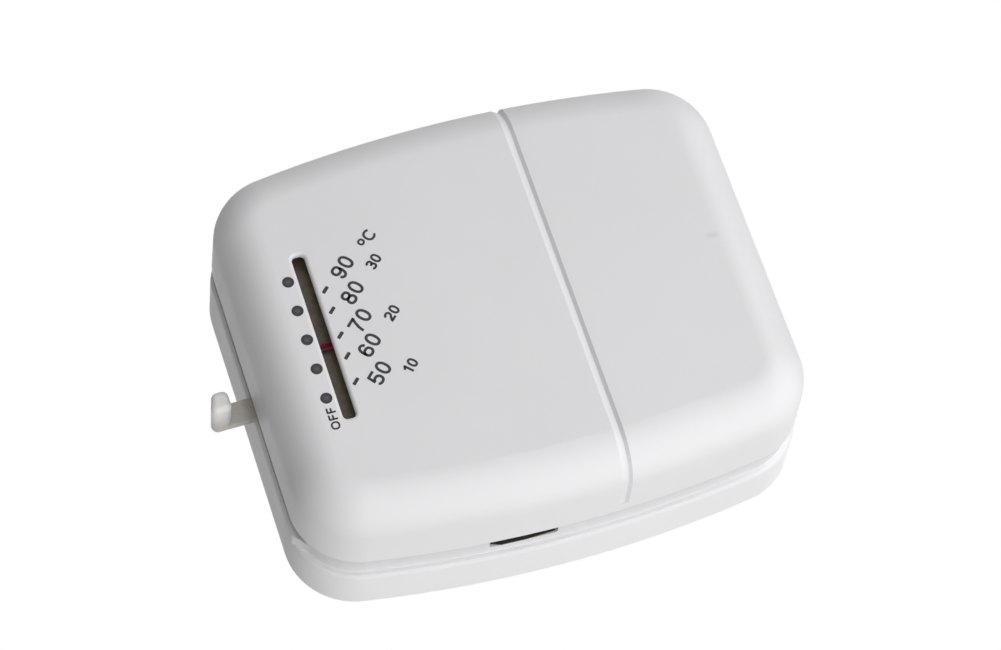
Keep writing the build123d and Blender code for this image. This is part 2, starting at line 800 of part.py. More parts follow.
def thermometer_bridge():
    """A strap behind the coil that carries the arbor's rear end, riveted to the dial plate by its two feet."""
    strap = block(-bridge_width / 2, bridge_width / 2, -bridge_half - bridge_thick, bridge_half + bridge_thick,
                  bridge_back, bridge_front)
    for side in (-1, 1):
        inner = side * bridge_half
        outer = side * (bridge_half + bridge_thick)
        foot_end = side * (bridge_half + bridge_thick + bridge_foot)
        strap += block(-bridge_width / 2, bridge_width / 2, min(inner, outer), max(inner, outer),
                       bridge_back, dial_back)
        strap += block(-bridge_width / 2, bridge_width / 2, min(inner, foot_end), max(inner, foot_end),
                       dial_back - bridge_thick, dial_back)
        strap -= rod(0, side * bridge_rivet_reach(), rivet_radius, dial_back - bridge_thick - over, dial_back + over)
    strap -= rod(0, 0, arbor_radius + fit_clearance, bridge_back - 1, bridge_front + 1)
    return Pos(arbor_x, arbor_y) * strap


def bridge_rivets():
    rivets = []
    back = dial_back - bridge_thick
    for side in (-1, 1):
        y = arbor_y + side * bridge_rivet_reach()
        rivet = rod(arbor_x, y, rivet_radius, back, dial_front)
        rivet += rod(arbor_x, y, rivet_head_radius, back - rivet_head_thick, back)
        rivet += rod(arbor_x, y, rivet_head_radius, dial_front, dial_front + rivet_head_thick / 2)
        rivets.append(rivet)
    return Compound(children=rivets)


def thermometer_coil():
    strip = spiral_strip(meter_coil_inner, meter_coil_outer, meter_coil_half_turns, meter_coil_thick)
    leg_gap = bridge_half - meter_coil_outer
    end = Pos(0, meter_coil_outer + leg_gap / 2) * Rectangle(meter_coil_thick, leg_gap)
    return Pos(arbor_x, arbor_y) * prism(strip + end, meter_coil_level, meter_coil_level + meter_coil_width)


def thermometer_arbor():
    arbor = rod(arbor_x, arbor_y, arbor_radius, bridge_back - 0.4, needle_level + needle_thick + 0.3)
    return arbor + rod(arbor_x, arbor_y, arbor_collar_radius - 0.3, dial_back - arbor_collar_thick, dial_back - 0.1)


def thermometer_pointer():
    needle = Polygon(
        (0, -needle_width), (0, needle_width), (-needle_reach, needle_width / 2), (-needle_reach, -needle_width / 2),
        align=None,
    )
    pointer = prism(needle + Circle(needle_hub_radius), needle_level, needle_level + needle_thick)
    pointer -= rod(0, 0, arbor_radius, needle_level - 1, needle_level + 1)
    return Pos(arbor_x, arbor_y) * Rot(0, 0, -needle_rest) * pointer


nodes = {
    "wall_base": wall_base,
    "front_cover": front_cover,
    "mechanism_plate": mechanism_plate,
    "plate_screws": plate_screws,
    "pivot_post": pivot_post,
    "friction_washer": friction_washer,
    "retaining_ring": retaining_ring,
    "set_lever": set_lever,
    "bimetal_coil": bimetal_coil,
    "moving_contact": moving_contact,
    "armature": armature,
    "contact_screw": contact_screw,
    "contact_bracket": contact_bracket,
    "contact_block": contact_block,
    "contact_block_screw": contact_block_screw,
    "contact_magnet": contact_magnet,
    "arm_stop_pin": arm_stop_pin,
    "off_switch_block": off_switch_block,
    "off_switch_fixed_leaf": off_switch_fixed_leaf,
    "off_switch_moving_leaf": off_switch_moving_leaf,
    "anticipator_card": anticipator_card,
    "anticipator_winding": anticipator_winding,
    "anticipator_post": anticipator_post,
    "anticipator_pointer": anticipator_pointer,
    "terminal_block": terminal_block,
    "terminal_strips": terminal_strips,
    "terminal_screws": terminal_screws,
    "dial_plate": dial_plate,
    "thermometer_bridge": thermometer_bridge,
    "bridge_rivets": bridge_rivets,
    "thermometer_coil": thermometer_coil,
    "thermometer_arbor": thermometer_arbor,
    "thermometer_pointer": thermometer_pointer,
}

os.makedirs("parts", exist_ok=True)
for name, make in nodes.items():
    save(name, make())
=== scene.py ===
# %% [markdown]
# # A wall thermostat
#
# This lesson dresses a finished mechanical model of a wall thermostat: a white moulded housing with a
# snap-on cover, a small setting lever at its left side, and a thermometer that shows through a slot.
# The solid parts are loaded as they are. Blender adds what a mould, a printing pad and a paint shop
# give the real one: surface grain, printed figures, plated and painted metal, and the light to see it by.

# %% Load the parts
import math
import bpy
from mathutils import Matrix, Vector


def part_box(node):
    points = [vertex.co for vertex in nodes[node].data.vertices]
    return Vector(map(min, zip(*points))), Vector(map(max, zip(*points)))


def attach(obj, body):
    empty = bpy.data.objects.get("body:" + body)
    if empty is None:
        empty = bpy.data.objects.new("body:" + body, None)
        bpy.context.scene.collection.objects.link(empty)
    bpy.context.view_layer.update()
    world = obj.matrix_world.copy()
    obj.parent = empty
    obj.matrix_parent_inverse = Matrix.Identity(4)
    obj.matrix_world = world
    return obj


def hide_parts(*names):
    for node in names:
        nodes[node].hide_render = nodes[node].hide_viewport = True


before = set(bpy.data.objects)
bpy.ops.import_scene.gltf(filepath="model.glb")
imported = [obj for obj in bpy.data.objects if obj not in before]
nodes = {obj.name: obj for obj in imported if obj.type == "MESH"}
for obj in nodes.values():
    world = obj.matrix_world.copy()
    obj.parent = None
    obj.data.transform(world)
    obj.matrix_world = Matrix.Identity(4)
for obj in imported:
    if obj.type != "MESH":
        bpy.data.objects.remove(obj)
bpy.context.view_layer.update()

MM = 0.001
bpy.ops.object.select_all(action="DESELECT")

# %% [markdown]
# ## The camera
#
# A product picture is taken with a long lens from a good distance, so that the sides of a box stay
# nearly parallel. Here the camera stands to the left of the thermostat and below it, looks up at its
# face, and is rolled, so that the housing lies at a slant. A camera object looks along its own -Z, so its
# turn is built from three directions: right, up and backwards.

# %% Place the camera
aim = Vector((1.149, -15.25, 4.649)) * MM
distance = 849.0 * MM
from_left = math.radians(12.837)
from_below = math.radians(25.094)
roll = math.radians(19.605)

towards = Vector((math.sin(from_left) * math.cos(from_below), math.cos(from_left) * math.cos(from_below),
                  math.sin(from_below)))
level_right = towards.cross(Vector((0, 0, 1))).normalized()
level_down = towards.cross(level_right)
right = math.cos(roll) * level_right + math.sin(roll) * level_down
down = math.cos(roll) * level_down - math.sin(roll) * level_right

camera_data = bpy.data.cameras.new("camera")
camera_data.lens = 133.74  # a long lens, in mm
camera_data.sensor_width = 36.0
camera_data.clip_start = 10 * MM
camera = bpy.data.objects.new("camera", camera_data)
bpy.context.scene.collection.objects.link(camera)
turn = Matrix((right, -down, -towards)).transposed().to_4x4()
camera.matrix_world = Matrix.Translation(aim - distance * towards) @ turn
bpy.context.scene.camera = camera
bpy.context.scene.view_settings.view_transform = "Standard"
print("camera at", [round(v, 3) for v in camera.location])

# %% [markdown]
# ## Colours and nodes
#
# Colours are written as a paint shop would, as sRGB hex codes, and one function turns them into the
# linear values that a renderer adds and multiplies. A second function adds one shader node: its settings
# are given by name, and each input takes either a value or the output of an earlier node.

# %% Two helpers for materials
def linear(code):
    """A six-figure sRGB hex colour as linear red, green, blue and alpha."""
    channels = [int(code[i:i + 2], 16) / 255 for i in (0, 2, 4)]
    return [c / 12.92 if c <= 0.04045 else ((c + 0.055) / 1.055) ** 2.4 for c in channels] + [1.0]


def add_node(tree, kind, inputs=None, **settings):
    """Adds a node, sets it up, and fills or links its inputs."""
    made = tree.nodes.new(kind)
    for name, value in settings.items():
        setattr(made, name, value)
    for key, value in (inputs or {}).items():
        if isinstance(value, bpy.types.NodeSocket):
            tree.links.new(value, made.inputs[key])
        else:
            made.inputs[key].default_value = value
    return made


print("mid grey 808080 is", round(linear("808080")[0], 3), "in linear light")

# %% [markdown]
# ## The studio
#
# The thermostat is shown as in a catalogue, on plain white with soft light. White plastic on white needs care:
# if the surroundings really shone that brightly, the housing would lose its shading. So the surroundings have
# two levels. Rays from the camera, and those that a shiny or clear surface sends on, see plain white. All other
# rays, which carry light to the object, see a dim sky. The Light Path node tells the two kinds apart.

# %% The world
SKY_LIGHT = 0.18


def seen_directly(tree):
    """1 for rays from the camera or from a shiny or clear surface, and 0 for all others."""
    path = add_node(tree, "ShaderNodeLightPath")
    seen = path.outputs["Is Camera Ray"]
    for kind in ("Is Glossy Ray", "Is Transmission Ray"):
        seen = add_node(tree, "ShaderNodeMath", {0: seen, 1: path.outputs[kind]}, operation="MAXIMUM").outputs[0]
    return seen


world = bpy.data.worlds.new("studio")
world.use_nodes = True
bpy.context.scene.world = world
sky = world.node_tree
sky.nodes.clear()
level = add_node(sky, "ShaderNodeMapRange", {"Value": seen_directly(sky), "To Min": SKY_LIGHT})
background = add_node(sky, "ShaderNodeBackground", {"Color": (1, 1, 1, 1), "Strength": level.outputs[0]})
add_node(sky, "ShaderNodeOutputWorld", {"Surface": background.outputs[0]})
print("the sky gives", SKY_LIGHT, "of white")

# %% [markdown]
# The floor is a wide sheet of matt paper, far below the thermostat. It could be lit until it looks white, but
# its light would wash out the lower side of the housing. So it glows a little too, for the same rays only.

# %% The floor
FLOOR_WIDTH = 8.0
FLOOR_HEIGHT = -0.75
FLOOR_GLOW = 0.86
bpy.ops.mesh.primitive_plane_add(size=FLOOR_WIDTH, location=(0, 0, FLOOR_HEIGHT))
floor = bpy.context.object
floor.name = "floor"
paper = bpy.data.materials.new("white_paper_sweep")
paper.use_nodes = True
floor.data.materials.append(paper)
tree = paper.node_tree
tree.nodes.clear()
share = add_node(tree, "ShaderNodeMath", {0: seen_directly(tree), 1: FLOOR_GLOW}, operation="MULTIPLY")
sheet = add_node(tree, "ShaderNodeBsdfDiffuse", {"Color": linear("F4F4F2")})
glow = add_node(tree, "ShaderNodeEmission")
both = add_node(tree, "ShaderNodeMixShader", {0: share.outputs[0], 1: sheet.outputs[0], 2: glow.outputs[0]})
add_node(tree, "ShaderNodeOutputMaterial", {"Surface": both.outputs[0]})
print("floor at", FLOOR_HEIGHT, "m")

# %% [markdown]
# The lamps are large soft boxes, each pointed at the thermostat. The strongest stands in front at the right, and
# one straight in front fills the face. Three weaker ones below lift the lower edge, one at the right lights that
# side, and one behind draws a light rim along the top. The left side has only the sky, so it stays grey. That
# tells the eye which way the rounded edges turn. Seen from above, the flat face would mirror the lowest lamp as
# glare, so shiny surfaces don't see that one.

# %% Lamps
LAMPS = {  # place in m, width in m, power in W
    "lamp_below": ((0.05, -0.12, -0.65), 0.4, 1.85),
    "lamp_low_front": ((-0.1, -0.9, -0.5), 0.4, 1.15),
    "lamp_low_right": ((0.7, -0.7, -0.5), 0.4, 0.80),
    "lamp_right": ((1.0, -0.4, 0.0), 0.5, 1.39),
    "lamp_front_right": ((0.9, -0.9, 0.3), 0.6, 4.33),
    "lamp_front": ((0.3, -1.4, 0.1), 0.6, 2.66),
    "lamp_behind": ((0.25, 1.2, 0.35), 0.7, 4.5),
}
for name, (place, width, power) in LAMPS.items():
    data = bpy.data.lights.new(name, "AREA")
    data.size = width
    data.energy = power
    lamp = bpy.data.objects.new(name, data)
    bpy.context.scene.collection.objects.link(lamp)
    lamp.location = place
    lamp.rotation_euler = (aim - Vector(place)).to_track_quat("-Z", "Y").to_euler()
    lamp.visible_glossy = name != "lamp_below"
print(len(LAMPS), "lamps,", round(sum(power for _, _, power in LAMPS.values()), 1), "W together")

# %% [markdown]
# ## White moulded plastic
#
# The housing is ABS, injected hot into a steel mould. The mould's cavity is etched to a very fine grain, so
# the plastic comes out satin: it has soft highlights and no mirror image. It is never one flat white. The
# pigment drifts a little, the grain scatters light unevenly, and handling leaves faint marks. Each of
# these is a noise pattern on Object coordinates, with a scale worked out from a size in millimetres. A real
# etched grain is about a tenth of a millimetre. Here it is drawn at nearly one, so that it shows at all.

# %% A bare material
def begin_material(name):
    """A new material, its tree, its Principled shader and its Object coordinates."""
    made = bpy.data.materials.new(name)
    made.use_nodes = True
    tree = made.node_tree
    tree.nodes.clear()
    shader = add_node(tree, "ShaderNodeBsdfPrincipled")
    add_node(tree, "ShaderNodeOutputMaterial", {"Surface": shader.outputs[0]})
    place = add_node(tree, "ShaderNodeTexCoord").outputs["Object"]
    return made, tree, shader, place


def feed(tree, shader, sockets):
    """Links outputs to the shader's inputs of those names."""
    for name, output in sockets.items():
        tree.links.new(output, shader.inputs[name])


def pattern_scale(size_mm):
    """A texture's scale for features of that size, because the object is in metres."""
    return 1 / (size_mm * MM)


# A Noise texture seldom leaves its middle values, so these ranges are stretched to 0..1.
MOST = {"From Min": 0.3, "From Max": 0.7}
MIDDLE = {"From Min": 0.35, "From Max": 0.65}
print("a 1 mm pattern has scale", pattern_scale(1))

# %% Moulded plastic
DRIFT_MM = 26
SHEEN_MM = 9


def moulded_plastic(name, colour, shade, gloss, grain_mm, relief_mm):
    """Satin thermoplastic: pigment drift, an etched mould's grain and uneven sheen. Also returns its tint."""
    made, tree, shader, place = begin_material(name)
    drift = add_node(tree, "ShaderNodeTexNoise", {"Vector": place, "Scale": pattern_scale(DRIFT_MM), "Detail": 3})
    tint = add_node(tree, "ShaderNodeMix", {0: drift.outputs[0], 6: linear(colour), 7: linear(shade)},
                    data_type="RGBA")
    sheen = add_node(tree, "ShaderNodeTexNoise", {"Vector": place, "Scale": pattern_scale(SHEEN_MM), "Detail": 5})
    rough = add_node(tree, "ShaderNodeMapRange", {"Value": sheen.outputs[0], **MOST, "To Min": gloss - 0.04,
                                                  "To Max": gloss + 0.05})
    grain = add_node(tree, "ShaderNodeTexNoise", {"Vector": place, "Scale": pattern_scale(grain_mm), "Detail": 2,
                                                  "Roughness": 0.6})
    bump = add_node(tree, "ShaderNodeBump", {"Height": grain.outputs[0], "Distance": relief_mm * MM})
    feed(tree, shader, {"Base Color": tint.outputs[2], "Roughness": rough.outputs[0], "Normal": bump.outputs[0]})
    shader.inputs["IOR"].default_value = 1.53
    return made, tree, shader, place, tint.outputs[2]


# ABS, satin from an etched mould: white with a trace of violet, which the toner adds against yellowing
cover_abs, cover_tree, cover_shader, cover_place, cover_tint = moulded_plastic(
    "moulded_abs_satin_white", "EEEDEF", "E9E8EA", 0.50, 0.9, 0.006)
base_abs, base_tree, base_shader, base_place, base_tint = moulded_plastic(
    "moulded_abs_base_white", "F4F3F5", "EFEEF0", 0.52, 0.9, 0.006)
print("plastics:", cover_abs.name, base_abs.name)

# %% [markdown]
# ## A scuff on the cover
#
# Packing and handling leave marks on a white face. This one has a single faint scuff near its right side: a
# short grey smear, a few millimetres long, where something rubbed. The distance from its middle, taken in
# turned and squeezed coordinates, makes an oval, and noise breaks the oval up into strokes.

# %% Handling marks
SCUFF = Vector((47.9, -41.6, 0.9)) * MM
SCUFF_TURN = math.radians(-62)
SCUFF_SQUEEZE = (0.8, 0.2, 1.7)
SCUFF_CORE = 0.2 * MM
SCUFF_RIM = 1.8 * MM
away = add_node(cover_tree, "ShaderNodeVectorMath", {0: cover_place, 1: SCUFF}, operation="SUBTRACT")
turned = add_node(cover_tree, "ShaderNodeMapping", {"Vector": away.outputs[0], "Rotation": (0, SCUFF_TURN, 0),
                                                    "Scale": SCUFF_SQUEEZE})
reach = add_node(cover_tree, "ShaderNodeVectorMath", {0: turned.outputs[0]}, operation="LENGTH")
near = add_node(cover_tree, "ShaderNodeMapRange", {"Value": reach.outputs["Value"], "From Min": SCUFF_CORE,
                                                   "From Max": SCUFF_RIM, "To Min": 1.0, "To Max": 0.0})
broken = add_node(cover_tree, "ShaderNodeTexNoise", {"Vector": cover_place, "Scale": pattern_scale(0.7), "Detail": 4})
mark = add_node(cover_tree, "ShaderNodeMath", {0: near.outputs[0], 1: broken.outputs[0]}, operation="MULTIPLY")
scuffed = add_node(cover_tree, "ShaderNodeMix", {0: mark.outputs[0], 6: cover_tint, 7: linear("D3D1D2")},
                   data_type="RGBA")
feed(cover_tree, cover_shader, {"Base Color": scuffed.outputs[2]})
print("scuff at", [round(v / MM, 1) for v in SCUFF], "mm")

# %% [markdown]
# ## Painted shade in the neck
#
# Where the cover meets the base, a recessed neck runs around the housing under the cover's edge. The base's
# colour there is painted shade, for the shadow under the cover's overhang: a grey film that is darkest close
# to the cover. The film follows the height out of the wall, so it is a ramp along Y with a little noise.

# %% Painted shade under the cover's edge
NECK_START = -13.0 * MM
NECK_END = -19.8 * MM
from_wall = add_node(base_tree, "ShaderNodeSeparateXYZ", {0: base_place}).outputs["Y"]
film = add_node(base_tree, "ShaderNodeMapRange", {"Value": from_wall, "From Min": NECK_START, "From Max": NECK_END,
                                                  "To Min": 0.35})
neck = add_node(base_tree, "ShaderNodeMath", {0: from_wall, 1: NECK_START}, operation="LESS_THAN")
recess_noise = add_node(base_tree, "ShaderNodeTexNoise", {"Vector": base_place, "Scale": pattern_scale(2.5), "Detail": 4})
uneven = add_node(base_tree, "ShaderNodeMapRange", {"Value": recess_noise.outputs[0], **MOST, "To Min": 0.8})
recess_ramp = add_node(base_tree, "ShaderNodeMath", {0: film.outputs[0], 1: neck.outputs[0]}, operation="MULTIPLY")
recess_shade = add_node(base_tree, "ShaderNodeMath", {0: recess_ramp.outputs[0], 1: uneven.outputs[0]}, operation="MULTIPLY")
# Painted shade: D3D2D4 is the darker tint of the neck where the cover's overhang shades it.
recess_shaded_tint = add_node(base_tree, "ShaderNodeMix", {0: recess_shade.outputs[0], 6: base_tint, 7: linear("D3D2D4")},
                 data_type="RGBA")
feed(base_tree, base_shader, {"Base Color": recess_shaded_tint.outputs[2]})
print("neck from", round(-NECK_START / MM, 1), "to", round(-NECK_END / MM, 1), "mm out of the wall")

# %% [markdown]
# ## Natural nylon
#
# The setting lever is unpigmented nylon: tough, a little slippery, warm white and translucent, so light that
# enters it comes out again nearby. Its thick tab scatters enough light to look white. The arm and the back of
# the tab carry painted shade, for the shadow that the housing casts on the lever: the base colour runs darker
# along the arm towards the housing and from the tab's front to its back. Subsurface scattering gives the depth.

# %% The lever's nylon
# Painted shade: the colour darkens along the arm towards the housing and towards the tab's back, where the housing's
# shadow falls.
ARM_X = (-66.6 * MM, -60.0 * MM)
BACK_Y = (-26.2 * MM, -19.0 * MM)
lever_nylon, lever_tree, lever_shader, lever_place, lever_tint = moulded_plastic(
    "moulded_nylon_natural", "FCFBF9", "F8F7F4", 0.28, 0.7, 0.004)
along = add_node(lever_tree, "ShaderNodeSeparateXYZ", {0: lever_place})
arm_shade = add_node(lever_tree, "ShaderNodeMapRange", {"Value": along.outputs["X"], "From Min": ARM_X[0],
                                                   "From Max": ARM_X[1]}, interpolation_type="SMOOTHSTEP")
back_shade = add_node(lever_tree, "ShaderNodeMapRange", {"Value": along.outputs["Y"], "From Min": BACK_Y[0],
                                                   "From Max": BACK_Y[1], "To Max": 0.8})
shade = add_node(lever_tree, "ShaderNodeMath", {0: arm_shade.outputs[0], 1: back_shade.outputs[0]}, operation="MAXIMUM")
# Painted shade: B5AFA8 is the darker colour that stands in for that shadow.
shaded_nylon = add_node(lever_tree, "ShaderNodeMix", {0: shade.outputs[0], 6: lever_tint, 7: linear("B5AFA8")},
                 data_type="RGBA")
feed(lever_tree, lever_shader, {"Base Color": shaded_nylon.outputs[2]})
lever_shader.inputs["Subsurface Weight"].default_value = 0.12
lever_shader.inputs["Subsurface Radius"].default_value = (1.0, 0.9, 0.8)
lever_shader.inputs["Subsurface Scale"].default_value = 1.2 * MM
print("lever:", lever_nylon.name)

# %% [markdown]
# ## Metal from the rolling mill
#
# The plate, the leaves and both bimetal coils are cut from strip. Rolls leave fine lines along the strip, and
# plating, tempering or tarnish lays clouds of tint over them. A noise pattern that is squeezed along the
# rolling direction gives the lines. They steer the brightness, the roughness and a slight relief together, as
# they do on real strip. A metal's colour is its reflection, so each keeps the default index of refraction.

# %% Rolled strip
CLOUD_MM = 6
LINE_DEPTH_MM = 0.003
LINE_SQUEEZE = 0.05


def strip_metal(name, colour, tint, gloss, line_mm, along_axes):
    """Rolled strip, with its lines along the named axes."""
    made, tree, shader, place = begin_material(name)
    shader.inputs["Metallic"].default_value = 1.0
    squeeze = tuple(LINE_SQUEEZE if axis in along_axes else 1.0 for axis in "xyz")
    drawn = add_node(tree, "ShaderNodeMapping", {"Vector": place, "Scale": squeeze})
    lines = add_node(tree, "ShaderNodeTexNoise", {"Vector": drawn.outputs[0], "Scale": pattern_scale(line_mm),
                                                  "Detail": 3, "Roughness": 0.7})
    clouds = add_node(tree, "ShaderNodeTexNoise", {"Vector": place, "Scale": pattern_scale(CLOUD_MM), "Detail": 4})
    cloudy = add_node(tree, "ShaderNodeMapRange", {"Value": clouds.outputs[0], **MIDDLE})
    tone = add_node(tree, "ShaderNodeMix", {0: cloudy.outputs[0], 6: linear(colour), 7: linear(tint)},
                    data_type="RGBA")
    dull = add_node(tree, "ShaderNodeMapRange", {"Value": lines.outputs[0], **MOST, "To Min": 0.78})
    lined = add_node(tree, "ShaderNodeVectorMath", {0: tone.outputs[2], "Scale": dull.outputs[0]}, operation="SCALE")
    rough = add_node(tree, "ShaderNodeMapRange", {"Value": lines.outputs[0], **MOST, "To Min": gloss + 0.09,
                                                  "To Max": gloss - 0.06})
    bump = add_node(tree, "ShaderNodeBump", {"Height": lines.outputs[0], "Distance": LINE_DEPTH_MM * MM})
    feed(tree, shader, {"Base Color": lined.outputs[0], "Roughness": rough.outputs[0], "Normal": bump.outputs[0]})
    return made


# Real rolling lines are some hundredths of a millimetre apart, and are drawn here at a third to one millimetre.
finishes = {
    # steel sheet, zinc plated and passivated: cool grey with faint straw-coloured clouds
    "zinc_steel": strip_metal("zinc_plated_steel_sheet", "BFC3C7", "BAB7A8", 0.36, 0.9, "z"),
    # hardened and tempered steel: bright grey with a trace of temper blue
    "spring_steel": strip_metal("tempered_spring_steel", "A7AAB0", "7E8798", 0.30, 0.5, "x"),
    # hard-rolled brass leaves, lightly tarnished
    "sheet_brass": strip_metal("rolled_brass_leaf", "D8B76F", "B08B4A", 0.30, 0.6, "z"),
    # two alloys rolled into one strip: nickel grey, with the brown of the side that expands more
    "bimetal_strip": strip_metal("rolled_bimetal_strip", "BAB1A5", "9A8770", 0.34, 0.35, "xz"),
    # annealed iron of the armature, dull and slightly oxidised
    "soft_iron": strip_metal("annealed_soft_iron", "8B8B8D", "6C6660", 0.44, 0.5, "x"),
    # drawn nickel-chrome wire, greyed by heat
    "resistance_wire": strip_metal("drawn_nickel_chrome_wire", "A69F95", "7F7468", 0.38, 0.25, "y"),
}
print(len(finishes), "strip metals")

# %% [markdown]
# ## Turned metal
#
# Posts, screws and rivets are turned from bar on a lathe. The tool advances a little with each turn, so it
# leaves a screw-like ridge, seen as fine rings around the part. All of these parts have their axis out of
# the wall, so bands of a Wave texture along Y are rings on each of them, wherever it stands.

# %% Turned parts
WAVE_LENGTH = 0.314  # metres between the bands of a Wave texture of scale 1
RIDGE_MM = 0.008


def turned_metal(name, colour, tint, gloss, feed_mm):
    """A part from the lathe, with a ridge at each feed of the tool."""
    made, tree, shader, place = begin_material(name)
    shader.inputs["Metallic"].default_value = 1.0
    ridges = add_node(tree, "ShaderNodeTexWave", {"Vector": place, "Scale": WAVE_LENGTH / (feed_mm * MM),
                                                  "Distortion": 0.5, "Detail": 2},
                      wave_type="BANDS", bands_direction="Y")
    handled = add_node(tree, "ShaderNodeTexNoise", {"Vector": place, "Scale": pattern_scale(1.6), "Detail": 5})
    cloudy = add_node(tree, "ShaderNodeMapRange", {"Value": handled.outputs[0], "From Min": 0.35, "From Max": 0.7})
    tone = add_node(tree, "ShaderNodeMix", {0: cloudy.outputs[0], 6: linear(colour), 7: linear(tint)},
                    data_type="RGBA")
    rough = add_node(tree, "ShaderNodeMapRange", {"Value": handled.outputs[0], **MOST, "To Min": gloss - 0.05,
                                                  "To Max": gloss + 0.1})
    bump = add_node(tree, "ShaderNodeBump", {"Height": ridges.outputs["Fac"], "Distance": RIDGE_MM * MM})
    feed(tree, shader, {"Base Color": tone.outputs[2], "Roughness": rough.outputs[0], "Normal": bump.outputs[0]})
    return made


# A real feed is about 0.05 mm a turn. It is drawn at 0.25 mm or more, where it can be seen.
finishes.update({
    # steel screws, nickel plated: neutral and bright, dulled where a driver slipped
    "screw_steel": turned_metal("nickel_plated_steel_screw", "C6C5C1", "9F9D98", 0.28, 0.3),
    # free-cutting brass, bright from the tool with brown fingermarks
    "turned_brass": turned_metal("turned_brass", "DFC07A", "B8924F", 0.26, 0.35),
    # fine silver, pale, with yellow sulphide tarnish
    "silver_contact": turned_metal("silver_contact_tip", "EBEAE6", "CDBF9C", 0.24, 0.25),
    # soft aluminium rivets, matt where the tool pressed them
    "rivet_aluminium": turned_metal("pressed_aluminium_rivet", "CFD0D2", "B4B4B5", 0.38, 0.4),
})
print(len(finishes), "metals")

# %% [markdown]
# ## The blocks, the card and the magnet
#
# The terminals sit on phenolic, a hot-pressed thermoset. It is brown-black, hard and fairly glossy, and wood
# flour in it shows as a mottle. The heater's card is paper laminate, layers of paper in the same resin, whose
# fibres run along the sheet. The magnet is sintered ferrite: a dark ceramic of fused grains. All three are
# grains of one kind or another, so one function makes them, and squeezing the grains makes fibres.

# %% Insulators and ferrite
def speckled_solid(name, colour, fleck, gloss, index, grain_mm, squeeze, relief_mm):
    """A dense non-metal whose grains or fibres show in colour, gloss and relief."""
    made, tree, shader, place = begin_material(name)
    stretched = add_node(tree, "ShaderNodeMapping", {"Vector": place, "Scale": squeeze})
    grains = add_node(tree, "ShaderNodeTexNoise", {"Vector": stretched.outputs[0], "Scale": pattern_scale(grain_mm),
                                                   "Detail": 4, "Roughness": 0.65})
    cells = add_node(tree, "ShaderNodeTexVoronoi", {"Vector": place, "Scale": pattern_scale(grain_mm * 1.6)})
    share = add_node(tree, "ShaderNodeMapRange", {"Value": grains.outputs[0], "From Min": 0.35, "From Max": 0.68})
    tone = add_node(tree, "ShaderNodeMix", {0: share.outputs[0], 6: linear(colour), 7: linear(fleck)},
                    data_type="RGBA")
    rough = add_node(tree, "ShaderNodeMapRange", {"Value": cells.outputs["Distance"], "To Min": gloss - 0.06,
                                                  "To Max": gloss + 0.1})
    bump = add_node(tree, "ShaderNodeBump", {"Height": grains.outputs[0], "Distance": relief_mm * MM})
    feed(tree, shader, {"Base Color": tone.outputs[2], "Roughness": rough.outputs[0], "Normal": bump.outputs[0]})
    shader.inputs["IOR"].default_value = index
    return made


finishes.update({
    # wood-flour phenolic, pressed against a polished mould
    "phenolic": speckled_solid("pressed_phenolic_brown_black", "1D1916", "352B23", 0.34, 1.6, 1.1, (1, 1, 1),
                               0.004),
    # paper laminate: brown resin over fibres that run along the sheet
    "card_board": speckled_solid("paper_phenolic_laminate", "6F4A2B", "4C311C", 0.50, 1.6, 0.6, (0.2, 1, 1),
                                 0.006),
    # ferrite: charcoal grey and finely granular, with the strong reflection of a dense oxide
    "magnet": speckled_solid("sintered_ferrite", "333336", "1F1F21", 0.50, 2.3, 0.35, (1, 1, 1), 0.012),
})
# vulcanised fibre: cotton paper swollen in salt, pressed and dyed black, matt, with a soft fibrous relief
# This black sheet lines the notch as painted shade, where the deep notch lies in shadow.
notch_shade_fibre = speckled_solid("vulcanised_fibre_black_notch_shade", "2E2925", "40392F", 0.62, 1.55, 0.5, (0.25, 1, 1), 0.008)
print(len(finishes), "finishes so far")

# %% [markdown]
# ## Enamel on the dial
#
# Behind the slot lies a dark bronze-brown plate. Its stoved enamel flows out nearly flat but keeps a slight
# orange peel, and its pigment is a little cloudy. One noise pattern gives the peel, and a second the clouds.

# %% The dial's enamel
dial, tree, shader, place = begin_material("stoved_enamel_bronze_brown")
peel = add_node(tree, "ShaderNodeTexNoise", {"Vector": place, "Scale": pattern_scale(0.8), "Detail": 1})
pigment = add_node(tree, "ShaderNodeTexNoise", {"Vector": place, "Scale": pattern_scale(1.7), "Detail": 5,
                                                "Roughness": 0.7})
cloudy = add_node(tree, "ShaderNodeMapRange", {"Value": pigment.outputs[0], **MIDDLE})
tone = add_node(tree, "ShaderNodeMix", {0: cloudy.outputs[0], 6: linear("6A5E50"), 7: linear("574D41")},
                data_type="RGBA")
rough = add_node(tree, "ShaderNodeMapRange", {"Value": pigment.outputs[0], "To Min": 0.38, "To Max": 0.52})
bump = add_node(tree, "ShaderNodeBump", {"Height": peel.outputs[0], "Distance": 0.006 * MM})
feed(tree, shader, {"Base Color": tone.outputs[2], "Roughness": rough.outputs[0], "Normal": bump.outputs[0]})
finishes["dial_paint"] = dial
print("dial:", dial.name)

# %% [markdown]
# ## Lacquer on the pointer
#
# The pointer is dipped in dark red lacquer, which draws back from sharp edges as it dries, so both edges of the
# blade look lighter and duller than its middle. The blade runs from its tip to the middle of the arbor. The
# distance from that line comes from a dot product with the direction across it.

# %% The blade's direction
blade = [v.co.copy() for v in nodes["thermometer_pointer"].data.vertices]
tip_x = min(v.x for v in blade)
tip = [v for v in blade if v.x < tip_x + 0.2 * MM]
tip_middle = sum(tip, Vector()) / len(tip)
arbor_low, arbor_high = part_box("thermometer_arbor")
hub = (arbor_low + arbor_high) / 2
blade_along = Vector((hub.x - tip_middle.x, 0, hub.z - tip_middle.z)).normalized()
blade_across = Vector((-blade_along.z, 0, blade_along.x))
print("pointer's tip at", [round(v / MM, 2) for v in tip_middle], "mm")

